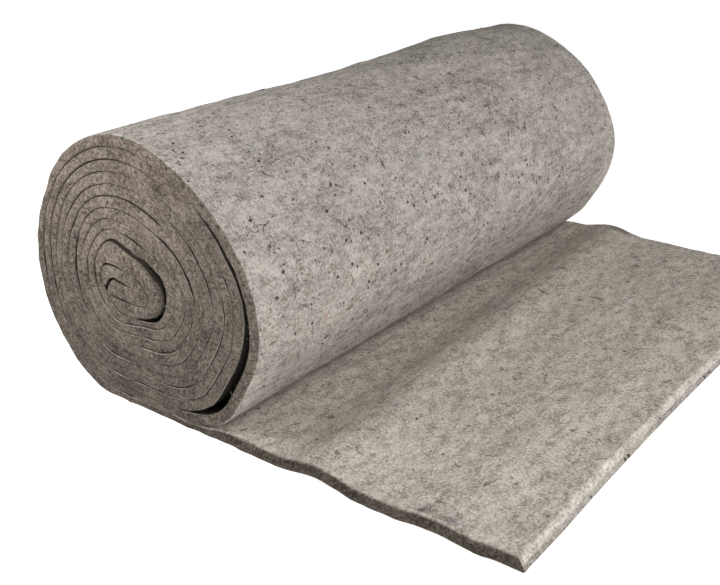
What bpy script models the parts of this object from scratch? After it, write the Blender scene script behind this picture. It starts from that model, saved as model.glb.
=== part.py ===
"""A roll of thick grey felt water storage mat, lying on the floor with its loose end laid out.

Metres, +Z up. The roll's axis runs along Y, with the open near end at -Y and the loose end
reaching out to +X. The origin is on the floor, under the middle of the space the mat takes.
The roll is one solid. Its turns are parted by a groove in both of its ends, and are pressed into
one between them. The loose end is a sheet that meets it where it comes out from under the roll.
"""
import math
from collections import namedtuple

import bmesh
import bpy

# Driving dimensions of the mat
MAT_WIDTH = 1.000
MAT_THICKNESS = 0.0165
PRESSED_THICKNESS = 0.0095
LAYER_GAP = 0.0005
LOOSE_REACH = 0.592

# The eye that the turns wind round, how far they are wound, and how deep the groove between
# them is at both ends
EYE_X = -0.018
EYE_Z = 0.195
TURNS = 9.25
OUTER_STEPS = 48
INNER_STEPS = 24
GROOVE_DEPTH = 0.012

# Shape of the winding: direction seen from the near end (0 to the right, 90 up), the radius
# that it starts from there, and the step from one turn to the next, both in millimetres
TurnRow = namedtuple("TurnRow", "direction radius step")
TURN_ROWS = (
    TurnRow(0, 252.0, 17.5),
    TurnRow(30, 231.5, 17.4),
    TurnRow(60, 219.5, 17.8),
    TurnRow(90, 215.5, 17.4),
    TurnRow(120, 204.5, 15.0),
    TurnRow(150, 198.0, 14.1),
    TurnRow(180, 202.0, 14.0),
    TurnRow(210, 213.5, 15.0),
    TurnRow(240, 214.5, 15.1),
    TurnRow(255, 207.0, 15.1),
    TurnRow(270, 201.0, 15.0),
    TurnRow(285, 208.0, 15.8),
    TurnRow(300, 228.0, 17.3),
    TurnRow(315, 247.0, 17.8),
    TurnRow(330, 245.0, 16.9),
    TurnRow(360, 252.0, 17.5),
)

# The outermost turn stands off the turns inside it in a crescent at the lower right
SLACK = 0.014
SLACK_DIRECTION = 325.0
SLACK_BEFORE = 33.0
SLACK_AFTER = 80.0

# The last full turn is pressed thin at the lower right, and stands off at the left: place in
# turns, how far to both sides, and how far each face moves outwards there, in millimetres
PinchRow = namedtuple("PinchRow", "turns reach outer inner")
PINCH_ROWS = (
    PinchRow(8.93, 0.15, 0.0, 8.0),
    PinchRow(9.24, 0.12, -2.2, 0.0),
)

# The innermost turn, bunched and folded, from the last full turn to the mat's inner end.
# Both faces of the mat in millimetres, seen from the near end.
CoreRow = namedtuple("CoreRow", "outer_x outer_z inner_x inner_z")
CORE_ROWS = (
    CoreRow(-84.0, 212.2, -71.5, 204.0),
    CoreRow(-75.0, 227.6, -66.0, 212.0),
    CoreRow(-63.6, 240.3, -57.0, 214.3),
    CoreRow(-49.4, 248.9, -44.0, 214.6),
    CoreRow(-32.7, 249.0, -30.0, 214.4),
    CoreRow(-18.1, 244.6, -16.0, 213.8),
    CoreRow(-6.0, 240.7, -6.0, 212.0),
    CoreRow(6.2, 236.9, 4.0, 208.5),
    CoreRow(20.0, 230.3, 13.0, 203.0),
    CoreRow(33.0, 219.8, 19.5, 197.5),
    CoreRow(43.0, 207.5, 23.5, 192.0),
    CoreRow(48.0, 194.5, 25.5, 186.5),
    CoreRow(47.5, 181.5, 25.3, 180.5),
    CoreRow(42.0, 169.0, 22.0, 174.5),
    CoreRow(31.5, 157.5, 16.0, 169.8),
    CoreRow(15.5, 149.0, 6.0, 166.9),
    CoreRow(-6.0, 144.2, -10.0, 165.6),
    CoreRow(-24.0, 142.4, -26.0, 165.0),
    CoreRow(-42.0, 143.2, -42.0, 164.3),
    CoreRow(-56.5, 150.0, -51.0, 163.4),
    CoreRow(-66.0, 160.8, -58.5, 164.0),
    CoreRow(-69.5, 168.5, -60.0, 165.8),
    CoreRow(-64.6, 177.0, -57.5, 167.0),
    CoreRow(-57.5, 186.8, -50.0, 166.0),
    CoreRow(-47.0, 191.9, -26.0, 166.1),
    CoreRow(-30.0, 191.4, 4.0, 167.6),
    CoreRow(-12.0, 191.6, 15.6, 170.5),
    CoreRow(-5.0, 192.0, 21.4, 175.2),
    CoreRow(-3.5, 192.2, 24.5, 181.0),
    CoreRow(-3.5, 192.5, 24.8, 186.2),
    CoreRow(-3.5, 192.8, 22.9, 191.5),
    CoreRow(-5.0, 193.1, 19.0, 196.9),
    CoreRow(-9.0, 193.3, 12.6, 202.3),
    CoreRow(-14.0, 193.5, 3.6, 207.7),
    CoreRow(-20.0, 193.6, -6.2, 211.2),
    CoreRow(-26.0, 193.7, -16.0, 212.7),
    CoreRow(-34.0, 193.8, -30.0, 212.3),
    CoreRow(-45.0, 195.3, -44.0, 212.2),
    CoreRow(-55.0, 192.8, -63.8, 210.3),
    CoreRow(-60.5, 189.0, -71.5, 202.6),
    CoreRow(-64.3, 184.0, -74.7, 192.8),
    CoreRow(-67.2, 178.6, -74.6, 181.5),
)

# The roll is a little slimmer between its ends, and tucked in at the far one. The columns
# between the grooves are shares of the width.
WAIST = 0.022
FAR_TUCK = 0.030
CORE_PUSH = 0.006
MIDDLE_COLUMNS = (-0.25, 0.05, 0.35)

# Soft waves of the loose end: place, height and half width, at the near and the far edge
WaveRow = namedtuple("WaveRow", "near_x far_x near_height far_height half_width")
WAVE_ROWS = (
    WaveRow(0.305, 0.225, 0.0095, 0.0120, 0.070),
    WaveRow(0.480, 0.510, 0.0045, 0.0030, 0.060),
)
CORNER_LIFT = 0.005
CORNER_REACH = 0.10
CUT_BOW = 0.014
LOOSE_STEPS = 18

# Steps from the roll's lowest point to the crease, where the loose end comes out from under it,
# and the hairline between the two
CREASE_STEPS = 4
HAIRLINE = 0.0003

FELT_COLOUR = (0.36, 0.335, 0.31, 1.0)
FELT_ROUGHNESS = 0.95


def smooth_step(value):
    """Rises softly from 0 to 1 as the value does."""
    held = min(max(value, 0.0), 1.0)
    return held * held * (3.0 - 2.0 * held)


def by_direction(column, direction):
    """A column of the winding's table at any direction, in metres, as a smooth curve."""
    rows = TURN_ROWS[:-1]
    after = next(k for k, row in enumerate(TURN_ROWS) if row.direction > direction)
    places, values = [], []
    for k in (after - 2, after - 1, after, after + 1):
        lap, index = divmod(k, len(rows))
        places.append(rows[index].direction + 360.0 * lap)
        values.append(getattr(rows[index], column))
    span = places[2] - places[1]
    part = (direction - places[1]) / span
    start_slope = (values[2] - values[0]) / (places[2] - places[0]) * span
    end_slope = (values[3] - values[1]) / (places[3] - places[1]) * span
    eased = smooth_step(part)
    curve = values[1] + (values[2] - values[1]) * eased
    curve += start_slope * part * (1.0 - part) ** 2 - end_slope * part ** 2 * (1.0 - part)
    return curve / 1000.0


def slack_at(direction):
    """How far the outermost turn stands off in this direction."""
    away = (direction - SLACK_DIRECTION + 180.0) % 360.0 - 180.0
    reach = SLACK_AFTER if away > 0.0 else SLACK_BEFORE
    share = min(abs(away) / reach, 1.0)
    return SLACK * math.cos(0.5 * math.pi * share) ** 2


def pinch_at(turns, lap):
    """How far a face of the mat moves outwards where a turn is pressed or stands off."""
    moved = 0.0
    for row in PINCH_ROWS:
        share = min(abs(turns - row.turns) / row.reach, 1.0)
        moved += (row.inner if lap else row.outer) / 1000.0 * math.cos(0.5 * math.pi * share) ** 2
    return moved


def wound_point(turns, lap):
    """A face of the mat after so many turns in from the floor, as x and z.

    The outer face has lap 0. The inner one has lap 1, as it follows the next turn in.
    """
    direction = (270.0 - 360.0 * turns) % 360.0
    radius = by_direction("radius", direction) - by_direction("step", direction) * (turns + lap)
    radius += LAYER_GAP * lap + pinch_at(turns, lap)
    if turns >= 1.0:
        radius -= slack_at(direction)
    x = EYE_X + radius * math.cos(math.radians(direction))
    z = EYE_Z + radius * math.sin(math.radians(direction))
    if turns + lap < 0.75:
        z = max(z, 0.0)
    elif turns + lap < 1.25:
        z = max(z, PRESSED_THICKNESS + LAYER_GAP * (1 - lap))
    return x, z


def wound_sections():
    """Both faces of the mat at each step of the winding."""
    inner_count = round((TURNS - 1.0) * INNER_STEPS)
    turns = [k / OUTER_STEPS for k in range(OUTER_STEPS)]
    turns += [1.0 + k / INNER_STEPS for k in range(inner_count + 1)]
    return [(wound_point(turn, 0), wound_point(turn, 1)) for turn in turns]


def core_sections():
    """Both faces of the mat through the folded core."""
    rows = [[value / 1000.0 for value in row] for row in CORE_ROWS]
    return [((row[0], row[1]), (row[2], row[3])) for row in rows]


def underside_at(x, lowest):
    """Height of the roll's outermost turn above the floor, at x beside its lowest point."""
    for (left_x, left_z), (right_x, right_z) in zip(lowest, lowest[1:]):
        if left_x <= x <= right_x:
            return left_z + (right_z - left_z) * (x - left_x) / (right_x - left_x)
    return math.inf


def wave_at(x, y):
    """Lift of the loose end off the floor."""
    across = y / MAT_WIDTH + 0.5
    lift = 0.0
    for row in WAVE_ROWS:
        middle = row.near_x + (row.far_x - row.near_x) * across
        height = row.near_height + (row.far_height - row.near_height) * across
        share = min(abs(x - middle) / row.half_width, 1.0)
        lift += height * math.cos(0.5 * math.pi * share) ** 2
    to_corner = math.hypot(LOOSE_REACH - x, y + 0.5 * MAT_WIDTH)
    return lift + CORNER_LIFT * smooth_step(1.0 - to_corner / CORNER_REACH)


def loose_point(x, y, lowest):
    """Both faces of the loose end at x, from under the roll to the cut edge."""
    thickness = MAT_THICKNESS + (PRESSED_THICKNESS - MAT_THICKNESS) * smooth_step((0.15 - x) / 0.06)
    lift = wave_at(x, y)
    roof = underside_at(x, lowest) - LAYER_GAP
    bow = CUT_BOW * (2.0 * y / MAT_WIDTH) ** 2 * smooth_step((x - 0.4) / 0.2)
    edge = bow if y < 0.0 else 0.3 * bow
    return (x + edge, lift), (x + edge, min(lift + thickness, roof))


def lowest_turn():
    """The outer face of the roll's outermost turn, from its lowest point to the right."""
    return [wound_point(1.0 - k / OUTER_STEPS, 0) for k in range(OUTER_STEPS // 4)]


def loose_sections(y):
    """Both faces of the loose end, from the cut edge to the crease."""
    lowest = lowest_turn()
    length = LOOSE_REACH - lowest[CREASE_STEPS][0] - HAIRLINE
    places = [LOOSE_REACH - length * k / LOOSE_STEPS for k in range(LOOSE_STEPS + 1)]
    return [loose_point(x, y, lowest) for x in places]


def pressed_sections(y):
    """Both faces of the mat under the roll, from the crease to the roll's lowest point."""
    lowest = lowest_turn()
    return [loose_point(lowest[k][0], y, lowest) for k in range(CREASE_STEPS, 0, -1)]


def slimmer(point, y):
    """A point of the wound part, drawn in at the roll's waist and at its far end."""
    along = y / MAT_WIDTH
    waist = WAIST * math.cos(math.pi * along) ** 2
    tuck = FAR_TUCK * smooth_step((along - 0.30) / 0.20)
    return point[0] * (1.0 - 0.5 * waist - tuck), point[1] * (1.0 - waist - tuck)


def roll_sections(y):
    """Both faces of the mat at one place across its width, from the crease to its inner end."""
    wound = [[slimmer(point, y) for point in pair] for pair in wound_sections() + core_sections()]
    return pressed_sections(y) + wound


def push_at(index, count):
    """How far the core stands out of the near end."""
    core_start = count - len(CORE_ROWS) - INNER_STEPS
    return -CORE_PUSH * smooth_step((index - core_start) / INNER_STEPS)


def add_rows(strip, sections, y, pushes):
    """Two rows of points, one on each face of the mat, at one place across its width."""
    return tuple(
        [strip.verts.new((point[0], y + push, point[1])) for point, push in zip(row, pushes)]
        for row in zip(*sections)
    )


def bridge(strip, one, other, closed):
    """A band of faces between two rows of points."""
    count = len(one) if closed else len(one) - 1
    for k in range(count):
        after = (k + 1) % len(one)
        strip.faces.new((one[k], one[after], other[after], other[k]))


def finished_mesh(strip, name):
    """The strip as a mesh with its faces outwards and no points left over."""
    spare = [vert for vert in strip.verts if not vert.link_faces]
    bmesh.ops.delete(strip, geom=spare, context="VERTS")
    bmesh.ops.recalc_face_normals(strip, faces=strip.faces)
    mesh = bpy.data.meshes.new(name)
    strip.to_mesh(mesh)
    strip.free()
    return mesh


def outline(outer, inner):
    """The points of both rows that are on the outside of the roll, from the crease round it."""
    return outer[:OUTER_STEPS + 1] + inner[:1]


def between_turns(outer, inner):
    """The points of both rows that face the gap between turns, from the crease and back to it."""
    return inner + outer[:OUTER_STEPS - 1:-1]


def add_end(strip, side):
    """One end of the roll, with the groove between its turns. Returns the outlines beside it."""
    y = side * 0.5 * MAT_WIDTH
    sections = roll_sections(y)
    count = len(sections)
    edge_rows = add_rows(strip, sections, y, [push_at(k, count) for k in range(count)])
    y -= side * GROOVE_DEPTH
    low_rows = add_rows(strip, roll_sections(y), y, [0.0] * count)
    bridge(strip, *edge_rows, False)
    floor = between_turns(*low_rows)
    bridge(strip, between_turns(*edge_rows), floor, False)
    bottom = strip.faces.new(floor)
    bottom.normal_update()
    bmesh.ops.triangulate(strip, faces=[bottom], ngon_method="EAR_CLIP")
    rim, inset = outline(*edge_rows), outline(*low_rows)
    bridge(strip, rim[-1:] + rim[:-1], inset[-1:] + inset[:-1], False)
    return inset


def roll_mesh():
    """The wound roll as one closed solid, from its near end to its far one."""
    strip = bmesh.new()
    columns = [add_end(strip, -1)]
    for share in MIDDLE_COLUMNS:
        y = share * MAT_WIDTH
        sections = roll_sections(y)
        columns.append(outline(*add_rows(strip, sections, y, [0.0] * len(sections))))
    columns.append(add_end(strip, 1))
    for one, other in zip(columns, columns[1:]):
        bridge(strip, one, other, True)
    return finished_mesh(strip, "wound_roll")


def loose_mesh():
    """The loose end as one closed sheet, from its near edge to its far one."""
    strip = bmesh.new()
    loops = []
    ends = []
    for share in (-0.5, *MIDDLE_COLUMNS, 0.5):
        y = share * MAT_WIDTH
        outer, inner = add_rows(strip, loose_sections(y), y, [0.0] * (LOOSE_STEPS + 1))
        loops.append(outer + inner[::-1])
        ends.append((outer, inner))
    for one, other in zip(loops, loops[1:]):
        bridge(strip, one, other, True)
    for outer, inner in (ends[0], ends[-1]):
        bridge(strip, outer, inner, False)
    return finished_mesh(strip, "loose_end")


def stand_on_origin(things):
    """Moves the meshes so that the origin is on the floor, under the middle of them all."""
    spots = [vert.co for thing in things for vert in thing.data.vertices]
    middle_x = 0.5 * (min(spot.x for spot in spots) + max(spot.x for spot in spots))
    middle_y = 0.5 * (min(spot.y for spot in spots) + max(spot.y for spot in spots))
    for spot in spots:
        spot.x -= middle_x
        spot.y -= middle_y


def felt_material():
    """Plain grey recycled felt."""
    felt = bpy.data.materials.new("felt")
    felt.use_nodes = True
    shader = felt.node_tree.nodes["Principled BSDF"]
    shader.inputs["Base Color"].default_value = FELT_COLOUR
    shader.inputs["Roughness"].default_value = FELT_ROUGHNESS
    shader.inputs["Metallic"].default_value = 0.0
    return felt


def build():
    for thing in list(bpy.data.objects):
        bpy.data.objects.remove(thing, do_unlink=True)
    felt = felt_material()
    pieces = [bpy.data.objects.new(mesh.name, mesh) for mesh in (roll_mesh(), loose_mesh())]
    for piece in pieces:
        piece.data.materials.append(felt)
        bpy.context.scene.collection.objects.link(piece)
    stand_on_origin(pieces)


build()
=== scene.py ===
import math
import random
from collections import namedtuple

import bpy
import numpy as np
from mathutils import Matrix, Vector


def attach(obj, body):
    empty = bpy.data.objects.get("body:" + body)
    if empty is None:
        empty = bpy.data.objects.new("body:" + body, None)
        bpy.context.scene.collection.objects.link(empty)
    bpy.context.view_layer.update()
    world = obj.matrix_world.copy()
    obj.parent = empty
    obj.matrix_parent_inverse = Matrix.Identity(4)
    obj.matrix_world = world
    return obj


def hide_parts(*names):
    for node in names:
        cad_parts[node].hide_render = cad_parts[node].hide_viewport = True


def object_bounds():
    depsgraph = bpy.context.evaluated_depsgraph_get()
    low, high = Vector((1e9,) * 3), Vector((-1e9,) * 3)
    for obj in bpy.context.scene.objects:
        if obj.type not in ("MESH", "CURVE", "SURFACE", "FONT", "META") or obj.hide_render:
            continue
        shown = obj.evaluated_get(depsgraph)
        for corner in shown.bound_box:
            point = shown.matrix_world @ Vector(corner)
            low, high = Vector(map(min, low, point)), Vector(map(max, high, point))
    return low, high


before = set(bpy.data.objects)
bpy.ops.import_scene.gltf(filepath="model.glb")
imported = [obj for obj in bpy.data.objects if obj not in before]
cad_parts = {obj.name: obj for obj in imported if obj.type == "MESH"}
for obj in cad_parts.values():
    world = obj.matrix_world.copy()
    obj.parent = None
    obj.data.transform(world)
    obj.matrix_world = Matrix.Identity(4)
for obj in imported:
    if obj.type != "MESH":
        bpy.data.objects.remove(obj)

# A roll of thick grey felt water storage mat, wound up on the floor with its loose end laid out.
# Metres, +Z up. The mat is one long sheet of felt: it starts at the cut edge of the loose end,
# runs in under the roll, winds round it inwards and ends in the folded core. Stray fibres lie on
# it and stick out of its cut edges.

CAD_BOX = [list(corner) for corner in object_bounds()]
bpy.ops.object.select_all(action="DESELECT")

# Driving dimensions, as in the solids
MAT_WIDTH = 1.000
MAT_THICKNESS = 0.0165
PRESSED_THICKNESS = 0.0095
LAYER_GAP = 0.0005
LOOSE_REACH = 0.592
EYE_X = -0.018
EYE_Z = 0.195
TURNS = 9.25
CORE_PUSH = 0.006
WAIST = 0.022
FAR_TUCK = 0.030
TUCK_FROM = 0.30
TUCK_OVER = 0.20
THIN_FROM = 0.15
THIN_OVER = 0.06
CUT_BOW = 0.014
BOW_FROM = 0.40
BOW_OVER = 0.20
FAR_BOW_SHARE = 0.30
CORNER_LIFT = 0.005
CORNER_REACH = 0.10

# The solids are centred on the floor. These two bring the roll's own place to theirs.
SHIFT_X = CAD_BOX[1][0] - (LOOSE_REACH + CUT_BOW)
SHIFT_Y = CAD_BOX[0][1] + 0.5 * MAT_WIDTH + CORE_PUSH

# How finely the sheet is made
LOOSE_STEPS = 64
OUTER_STEPS = 96
INNER_STEPS = 48
CORE_STEPS_A_ROW = 3
COLUMNS_ACROSS = 38
CORNER_POINTS = 5
EDGE_BAND = 0.012
START_BAND = 0.006

# Shape of the winding: direction seen from the near end (0 to the right, 90 up), the radius
# that it starts from there, and the step from one turn to the next, both in millimetres
TurnRow = namedtuple("TurnRow", "direction radius step")
TURN_ROWS = (
    TurnRow(0, 252.0, 17.5),
    TurnRow(30, 231.5, 17.4),
    TurnRow(60, 219.5, 17.8),
    TurnRow(90, 215.5, 17.4),
    TurnRow(120, 204.5, 15.0),
    TurnRow(150, 198.0, 14.1),
    TurnRow(180, 202.0, 14.0),
    TurnRow(210, 213.5, 15.0),
    TurnRow(240, 214.5, 15.1),
    TurnRow(255, 207.0, 15.1),
    TurnRow(270, 201.0, 15.0),
    TurnRow(285, 208.0, 15.8),
    TurnRow(300, 228.0, 17.3),
    TurnRow(315, 247.0, 17.8),
    TurnRow(330, 245.0, 16.9),
    TurnRow(360, 252.0, 17.5),
)
SLACK = 0.014
SLACK_DIRECTION = 325.0
SLACK_BEFORE = 33.0
SLACK_AFTER = 80.0

# Where a turn is pressed thin or stands off: place in turns, how far to both sides, how far each
# face moves outwards there, and how far the turn sits back into the roll, in millimetres
PinchRow = namedtuple("PinchRow", "turns reach outer inner back")
PINCH_ROWS = (
    PinchRow(8.93, 0.17, 0.0, 8.0, 4.5),
    PinchRow(9.24, 0.12, -2.2, 0.0, 0.0),
    PinchRow(7.92, 0.16, 0.0, 0.0, 2.0),
    PinchRow(2.40, 0.17, -1.0, 0.0, 0.8),
    PinchRow(6.22, 0.14, -0.8, 0.0, 0.0),
    PinchRow(4.35, 0.10, -0.6, 0.0, 0.0),
)

# Both faces of the folded core, seen from the near end, and how softly the corner of each face
# is rounded into the cut edge, in millimetres
CoreRow = namedtuple("CoreRow", "outer_x outer_z inner_x inner_z outer_soft inner_soft")
CORE_ROWS = (
    CoreRow(-84.0, 212.2, -71.5, 204.0, 1.8, 1.4),
    CoreRow(-75.0, 227.6, -66.0, 212.0, 1.8, 1.6),
    CoreRow(-63.6, 240.3, -57.0, 214.3, 1.8, 1.8),
    CoreRow(-49.4, 248.9, -44.0, 214.6, 1.8, 1.8),
    CoreRow(-32.7, 249.0, -30.0, 214.4, 1.8, 1.8),
    CoreRow(-18.1, 244.6, -16.0, 213.8, 1.8, 1.4),
    CoreRow(-6.0, 240.7, -6.0, 212.0, 1.8, 0.8),
    CoreRow(6.2, 236.9, 4.0, 208.5, 1.8, 0.4),
    CoreRow(20.0, 230.3, 13.0, 203.0, 2.6, 0.3),
    CoreRow(33.0, 219.8, 19.5, 197.5, 4.5, 0.3),
    CoreRow(43.0, 207.5, 23.5, 192.0, 7.5, 0.3),
    CoreRow(48.0, 194.5, 25.5, 186.5, 10.0, 0.3),
    CoreRow(47.5, 181.5, 25.3, 180.5, 11.0, 0.3),
    CoreRow(42.0, 169.0, 22.0, 174.5, 10.0, 0.3),
    CoreRow(31.5, 157.5, 16.0, 169.8, 9.0, 0.3),
    CoreRow(15.5, 149.0, 6.0, 166.9, 8.0, 0.3),
    CoreRow(-6.0, 144.2, -10.0, 165.6, 6.5, 0.3),
    CoreRow(-24.0, 142.4, -26.0, 165.0, 5.0, 0.3),
    CoreRow(-42.0, 143.2, -42.0, 164.3, 4.0, 0.8),
    CoreRow(-56.5, 150.0, -51.0, 163.4, 3.5, 1.6),
    CoreRow(-66.0, 160.8, -58.5, 164.0, 3.0, 1.6),
    CoreRow(-69.5, 168.5, -60.0, 165.8, 3.0, 1.2),
    CoreRow(-64.6, 177.0, -57.5, 167.0, 2.2, 0.6),
    CoreRow(-57.5, 186.8, -50.0, 166.0, 1.8, 0.4),
    CoreRow(-47.0, 191.9, -26.0, 166.1, 1.6, 0.4),
    CoreRow(-30.0, 191.4, 4.0, 167.6, 1.4, 0.4),
    CoreRow(-12.0, 191.6, 15.6, 170.5, 0.8, 0.4),
    CoreRow(-5.0, 192.0, 21.4, 175.2, 0.3, 0.3),
    CoreRow(-3.5, 192.2, 24.5, 181.0, 0.3, 0.3),
    CoreRow(-3.5, 192.5, 24.8, 186.2, 0.3, 0.3),
    CoreRow(-3.5, 192.8, 22.9, 191.5, 0.3, 0.3),
    CoreRow(-5.0, 193.1, 19.0, 196.9, 0.3, 0.3),
    CoreRow(-9.0, 193.3, 12.6, 202.3, 0.3, 0.3),
    CoreRow(-14.0, 193.5, 3.6, 207.7, 0.8, 0.4),
    CoreRow(-20.0, 193.6, -6.2, 211.2, 1.2, 0.8),
    CoreRow(-26.0, 193.7, -16.0, 212.7, 1.4, 1.4),
    CoreRow(-34.0, 193.8, -30.0, 212.3, 1.6, 1.8),
    CoreRow(-45.0, 195.3, -44.0, 212.2, 1.8, 1.8),
    CoreRow(-55.0, 192.8, -63.8, 210.3, 1.8, 1.8),
    CoreRow(-60.5, 189.0, -71.5, 202.6, 1.8, 1.6),
    CoreRow(-64.3, 184.0, -74.7, 192.8, 1.8, 1.4),
    CoreRow(-67.2, 178.6, -74.6, 181.5, 1.8, 1.4),
)

# Soft waves of the loose end: place, height and half width, at the near and the far edge
WaveRow = namedtuple("WaveRow", "near_x far_x near_height far_height half_width")
WAVE_ROWS = (
    WaveRow(0.305, 0.225, 0.0095, 0.0120, 0.070),
    WaveRow(0.480, 0.510, 0.0045, 0.0030, 0.060),
)

# How far the corners of the cut edges are rounded: on the underside and the cut at the mat's
# start, along the top of the loose end, in the turns, at the barrel's rim, and at the most as a
# share of the felt's thickness
CUT_ROUNDING = 0.0030
LOOSE_ROUNDING = 0.0075
LAYER_ROUNDING = 0.0032
BARREL_ROUNDING = 0.0046
ROUNDING_LIMIT = 0.46

# Where the loose end's own rounding starts, over what length, and how much further in than down
# it reaches
LOOSE_FROM = 0.10
LOOSE_OVER = 0.08
LOOSE_BEVEL = 1.45

# How far the cut at the mat's start slants back, and over what reach
CUT_SLANT = 0.0100
SLANT_REACH = 0.030

# The direction in which the turns are pressed together, how far to both sides of it, and how much
# less they are rounded there
PRESSED_DIRECTION = 58.0
PRESSED_SPREAD = 34.0
PRESSED_SHARE = 0.82

# How far the edges swell, how unevenly they lie in the roll's ends, and the lengths of that
EDGE_CROWN = 0.0012
EDGE_WANDER = 0.0017
SLOW_WANDER = 0.16
QUICK_WANDER = 0.035

# From which turn the inner face is hidden and takes painted shade, how far hidden rims count as cut, and how
# much painted shade darkens the loose end's near cut
HIDDEN_FROM = 0.02
HIDDEN_CUT = 0.24
NEAR_CUT_PAINTED_SHADE = 0.38

# On which side of the roll the rims show pale, a painted highlight, how sharply and from where, how much
# less they count as cut there, and how narrow the painted shade between the turns is, with what the pale
# rims add to that
PAINTED_LIT_RIM_DIRECTION = 305.0
PALE_SHARPNESS = 1.4
PALE_START = 0.2
PALE_CUT_LOSS = 0.6
DARK_NARROWING = 2.0
PALE_NARROWING = 3.0

# The folded core stands out of the near end on its right: where that starts, and how soon
LOBE_START = -0.072
LOBE_RISE = 0.080

# Swells and dents of the felt's faces: how high, how long each way, how they fade at the rims,
# where they start on the loose end, over what length, and their share there
SWELL_HEIGHT = 0.0011
SWELL_SIZE = (0.13, 0.10)
DENT_SIZE = (0.05, 0.045)
SWELL_FADE = 0.03
RIM_SWELL = 0.25
SWELL_FROM = 0.13
SWELL_OVER = 0.04
TOP_SWELL = 0.8

# Stretches of the barrel, in turns in from the floor: its rounded rim, its swells and its fibres
Stretch = namedtuple("Stretch", "start rise end fall")
ROUNDED_RIM = Stretch(0.05, 0.15, 1.00, 0.10)
SWELLING_BARREL = Stretch(0.06, 0.08, 0.97, 0.08)
FIBRE_START, FIBRE_END = 0.06, 0.93

# The photograph's camera, in the roll's own place
CAMERA_PLACE = (1.065, -1.3676, 0.7835)
CAMERA_TURN = (65.779, 0.777, 37.918)
CAMERA_LENS = 54.42
SENSOR_WIDTH = 36.0

# Studio lights in the roll's own place. A panel has its size in metres and its power in watts, a
# spot its softness in metres and its power, and a soft sun its spread in degrees and its strength.
LightRow = namedtuple("LightRow", "name kind place aim size strength")
LIGHT_ROWS = (
    LightRow("side_panel", "AREA", (1.80, -0.80, 1.45), (0.15, -0.10, 0.15), 1.0, 20.5),
    LightRow("left_panel", "AREA", (-0.60, -1.30, 1.10), (0.00, -0.50, 0.20), 0.5, 7.5),
    LightRow("top_panel", "AREA", (-0.45, -0.70, 1.90), (0.35, -0.20, 0.00), 0.8, 7.2),
    LightRow("end_spot", "SPOT", (-0.45, -1.45, 0.75), (-0.08, -0.50, 0.37), 0.10, 60.0),
    LightRow("low_sun", "SUN", (1.00, -0.12, 0.16), (0.00, 0.00, 0.00), 50.0, 2.0),
    LightRow("back_sun", "SUN", (-0.70, 0.60, 1.00), (0.00, 0.00, 0.00), 60.0, 0.15),
)
SPOT_CONE = 28.0
WORLD_STRENGTH = 0.11
FLOOR_GLOW = 0.76

# Stray fibres: how thick, how long each step of one is, how far off the floor they keep, the range
# of their sizes and of how far they lean out, and how each kind turns at each of its steps
FIBRE_THICKNESS = 0.0010
FIBRE_STEP = 0.0024
FIBRE_CLEARANCE = 0.0085
FIBRE_SIZES = (0.55, 1.25)
FIBRE_LEAN = (0.3, 1.4)
FibreRow = namedtuple("FibreRow", "name thick_share step_share turns")
FIBRE_ROWS = (
    FibreRow("hooked", 0.9, 0.9, (6, 10, 22, 30, 26, 12)),
    FibreRow("bent", 0.8, 1.3, (5, -12, -18, 8, 20, 6)),
    FibreRow("wavy", 0.8, 0.9, (22, 14, -10, -30, -24, 6, 20, 12)),
    FibreRow("stub", 1.3, 0.5, (10, 16)),
    FibreRow("hair", 0.32, 0.6, (8, 14, -6, -12)),
)

# Which fibres lie where, how many, the seed of their chance places, and whether they stand up
ScatterRow = namedtuple("ScatterRow", "name shapes colours where count seed standing")
SCATTER_ROWS = (
    ScatterRow("dark_barrel_fibres", "hooked bent wavy", "dark", "barrel", 190, 41, False),
    ScatterRow("dark_barrel_stubs", "stub", "dark", "barrel", 380, 48, False),
    ScatterRow("dark_top_fibres", "hooked bent wavy stub", "dark", "top", 60, 42, False),
    ScatterRow("dark_cut_fibres", "stub", "dark", "cut", 120, 43, False),
    ScatterRow("light_barrel_fibres", "bent wavy hair", "light", "barrel", 90, 44, False),
    ScatterRow("light_cut_fibres", "hair", "light", "cut", 200, 45, True),
    ScatterRow("bright_fibres", "bent stub", "bright", "both", 46, 46, False),
    ScatterRow("edge_fuzz", "hair", "light", "rim", 240, 47, True),
)

# Felt colours, dark to light, as linear colour: outer face, upper face, cut edges
OUTER_TONES = (
    (0.10, (0.150, 0.135, 0.118)),
    (0.50, (0.322, 0.294, 0.262)),
    (0.90, (0.474, 0.437, 0.397)),
)
UPPER_TONES = (
    (0.10, (0.248, 0.217, 0.181)),
    (0.50, (0.504, 0.454, 0.394)),
    (0.90, (0.716, 0.659, 0.588)),
)
CUT_TONES = (
    (0.10, (0.041, 0.032, 0.025)),
    (0.50, (0.115, 0.095, 0.077)),
    (0.90, (0.204, 0.172, 0.143)),
)
SPECK_COLOUR = (0.018, 0.013, 0.010, 1.0)
BLOTCH_COLOUR = (0.105, 0.082, 0.062, 1.0)
TUFT_COLOURS = (
    (0.00, (0.420, 0.180, 0.170)),
    (0.42, (0.150, 0.235, 0.260)),
    (0.50, (0.400, 0.220, 0.190)),
    (0.56, (0.330, 0.260, 0.160)),
)
LINT_COLOUR = (0.640, 0.605, 0.560, 1.0)
# Painted shade: the dark for faces hidden between the turns, the core's soft corners and the loose end's
# near cut
PAINTED_SHADE_COLOUR = (0.012, 0.009, 0.006, 1.0)
DARK_FIBRES = ((0.2, (0.012, 0.010, 0.009)), (0.8, (0.070, 0.052, 0.040)))
LIGHT_FIBRES = ((0.2, (0.330, 0.305, 0.275)), (0.8, (0.600, 0.570, 0.530)))
BRIGHT_FIBRES = (
    (0.00, (0.030, 0.210, 0.230)),
    (0.30, (0.420, 0.090, 0.150)),
    (0.50, (0.060, 0.110, 0.330)),
    (0.70, (0.380, 0.040, 0.035)),
    (0.85, (0.420, 0.250, 0.060)),
)

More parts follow.
